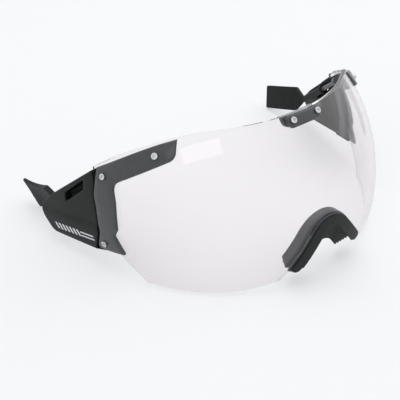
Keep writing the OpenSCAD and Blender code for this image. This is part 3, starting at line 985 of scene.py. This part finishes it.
def curl(mesh, side):
    """Dishes the tab. On the near side it also dips the top edge and splays the resting corner."""
    tab = tab_frame()
    back = tab.inverted()
    for vert in mesh.verts:
        a, d, h = back @ own(vert.co, side)
        sag = math.sin(math.pi * max(0.0, min(1.0, (a - CURL_FROM) / CURL_RUN)))
        d += CURL_DEEP * sag
        splay = 0.0
        if side < 0:
            h -= DIP * sag * ease(h / TAB_TOP)
            d *= 1 - FLATTENS * ease((a - CORNER_FROM) / FLAT_RUN)
            splay = ease((a - CORNER_FROM) / CORNER_RUN) * ease((CORNER_TOP - h) / CORNER_HEIGHT)
        vert.co = at_rest(tab @ Vector((a, d, h)), side) + SPLAY * splay


def make_neck(word, side):
    """Rubber neck, cut finely along its length."""
    mesh = merged("neck_" + word)
    rod = rod_frame()
    back = rod.inverted()
    along = [(back @ own(vert.co, side)).x for vert in mesh.verts]
    start, end = (at_rest(rod @ Vector((a, 0, 0)), side) for a in (min(along), max(along)))
    for i in range(1, NECK_PARTS):
        whole = list(mesh.verts) + list(mesh.edges) + list(mesh.faces)
        bmesh.ops.bisect_plane(mesh, geom=whole, plane_co=start.lerp(end, i / NECK_PARTS),
                               plane_no=(end - start).normalized(), dist=CLOSE)
    bmesh.ops.triangulate(mesh, faces=mesh.faces)
    neck = piece("flex_neck_" + word, mesh, ["rubber"], body=None)
    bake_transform(neck)
    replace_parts(neck, "neck_" + word)


# Tabs: soft forms in cells of this size, with edges over this length cut so that they curl smoothly
TAB_CELL = 0.22
LONG_EDGE, CUTS = 2.5, 12


def make_tabs():
    for word, side in SIDES.items():
        make_neck(word, side)
        body = "temple_tab_" + word
        mesh = outer_shell(merged("tab_" + word))
        edges = [e for e in mesh.edges if e.calc_length() > LONG_EDGE * MM]
        bmesh.ops.subdivide_edges(mesh, edges=edges, cuts=CUTS, use_grid_fill=True)
        bmesh.ops.triangulate(mesh, faces=mesh.faces)
        curl(mesh, side)
        tab = formed(mesh, "temple_paddle_" + word, TAB_CELL, 4, materials=["rubber"], body=body)
        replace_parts(tab, "tab_" + word)
        disc = merged("magnet_" + word)
        curl(disc, side)
        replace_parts(piece("magnet_disc_" + word, disc, ["steel"], body=body), "magnet_" + word)


# Studio: the spot between the tabs and the lens that the lamps aim at, and the place on the lens
# where the window shows, with the direction of the window's long side
CENTRE = (0, 0, 0.03)
SHINE = Vector((-0.038, -0.030, 0.056))
WINDOW_ALONG = Vector((0.48, -0.29, 0.13))
FLOOR_HALF = 3.0
FLOOR_GLOW = 0.47


def lamp(name, spot, aim, size, power, deep=None):
    data = bpy.data.lights.new(name, "AREA")
    data.shape = "RECTANGLE"
    data.size = size
    data.size_y = deep or size
    data.energy = power
    light = placed(name, data)
    light.location = spot
    light.rotation_euler = (Vector(aim) - Vector(spot)).to_track_quat("-Z", "Y").to_euler()
    return light


def direct_view(n, l):
    """1 for the rays that should see the plain white backdrop."""
    path = n.new("ShaderNodeLightPath").outputs
    either = reckon(n, l, "MAXIMUM", path["Is Camera Ray"], path["Is Transmission Ray"])
    return reckon(n, l, "MAXIMUM", either, path["Is Glossy Ray"])


def make_world():
    world = bpy.data.worlds.new("studio")
    world.use_nodes = True
    bpy.context.scene.world = world
    n, l = world.node_tree.nodes, world.node_tree.links
    ground = n["Background"]
    ground.inputs["Color"].default_value = (0.95, 0.94, 0.955, 1)
    ground.inputs["Strength"].default_value = 0.62
    seen = n.new("ShaderNodeBackground")
    seen.inputs["Color"].default_value = (0.94, 0.95, 0.965, 1)
    seen.inputs["Strength"].default_value = 1.0
    surface(n, l, direct_view(n, l), ground.outputs["Background"], seen.outputs["Background"],
            "World Output")


def make_lamps():
    lamp("key", (0.05, 0.20, 1.20), CENTRE, size=1.1, power=6.6)
    lamp("fill", (0.75, -0.1, 0.7), CENTRE, size=0.6, power=1.0)
    window = lamp("window", (-0.60, -0.51, 0.69), SHINE, size=0.48, power=0.30, deep=0.18)
    back = (window.location - SHINE).normalized()
    across = (WINDOW_ALONG - back * back.dot(WINDOW_ALONG)).normalized()
    window.rotation_euler = Matrix((across, back.cross(across), back)).transposed().to_euler()


def make_floor():
    mat, n, l, shader = new_material("pale_floor")
    shader.inputs["Roughness"].default_value = 0.85
    shader.inputs["Specular IOR Level"].default_value = 0.15
    base = tint(n, l, noise(n, l, 8, 2.0), (0.905, 0.920, 0.935), (0.915, 0.930, 0.945))
    l.new(base, shader.inputs["Base Color"])
    glow = n.new("ShaderNodeEmission")
    glow.inputs["Color"].default_value = (0.965, 0.975, 0.983, 1)
    share = reckon(n, l, "MULTIPLY", direct_view(n, l), FLOOR_GLOW)
    surface(n, l, share, shader.outputs["BSDF"], glow.outputs["Emission"])
    mesh = bpy.data.meshes.new("floor")
    corners = [(x * FLOOR_HALF, y * FLOOR_HALF, 0) for x, y in ((-1, -1), (1, -1), (1, 1), (-1, 1))]
    mesh.from_pydata(corners, [], [(0, 1, 2, 3)])
    mesh.materials.append(mat)
    placed("floor", mesh)


make_lens()
make_plates()
make_pips()
make_nose()
make_panels()
make_tabs()

bpy.context.scene.view_settings.view_transform = "Standard"
place_camera()
make_world()
make_lamps()
make_floor()
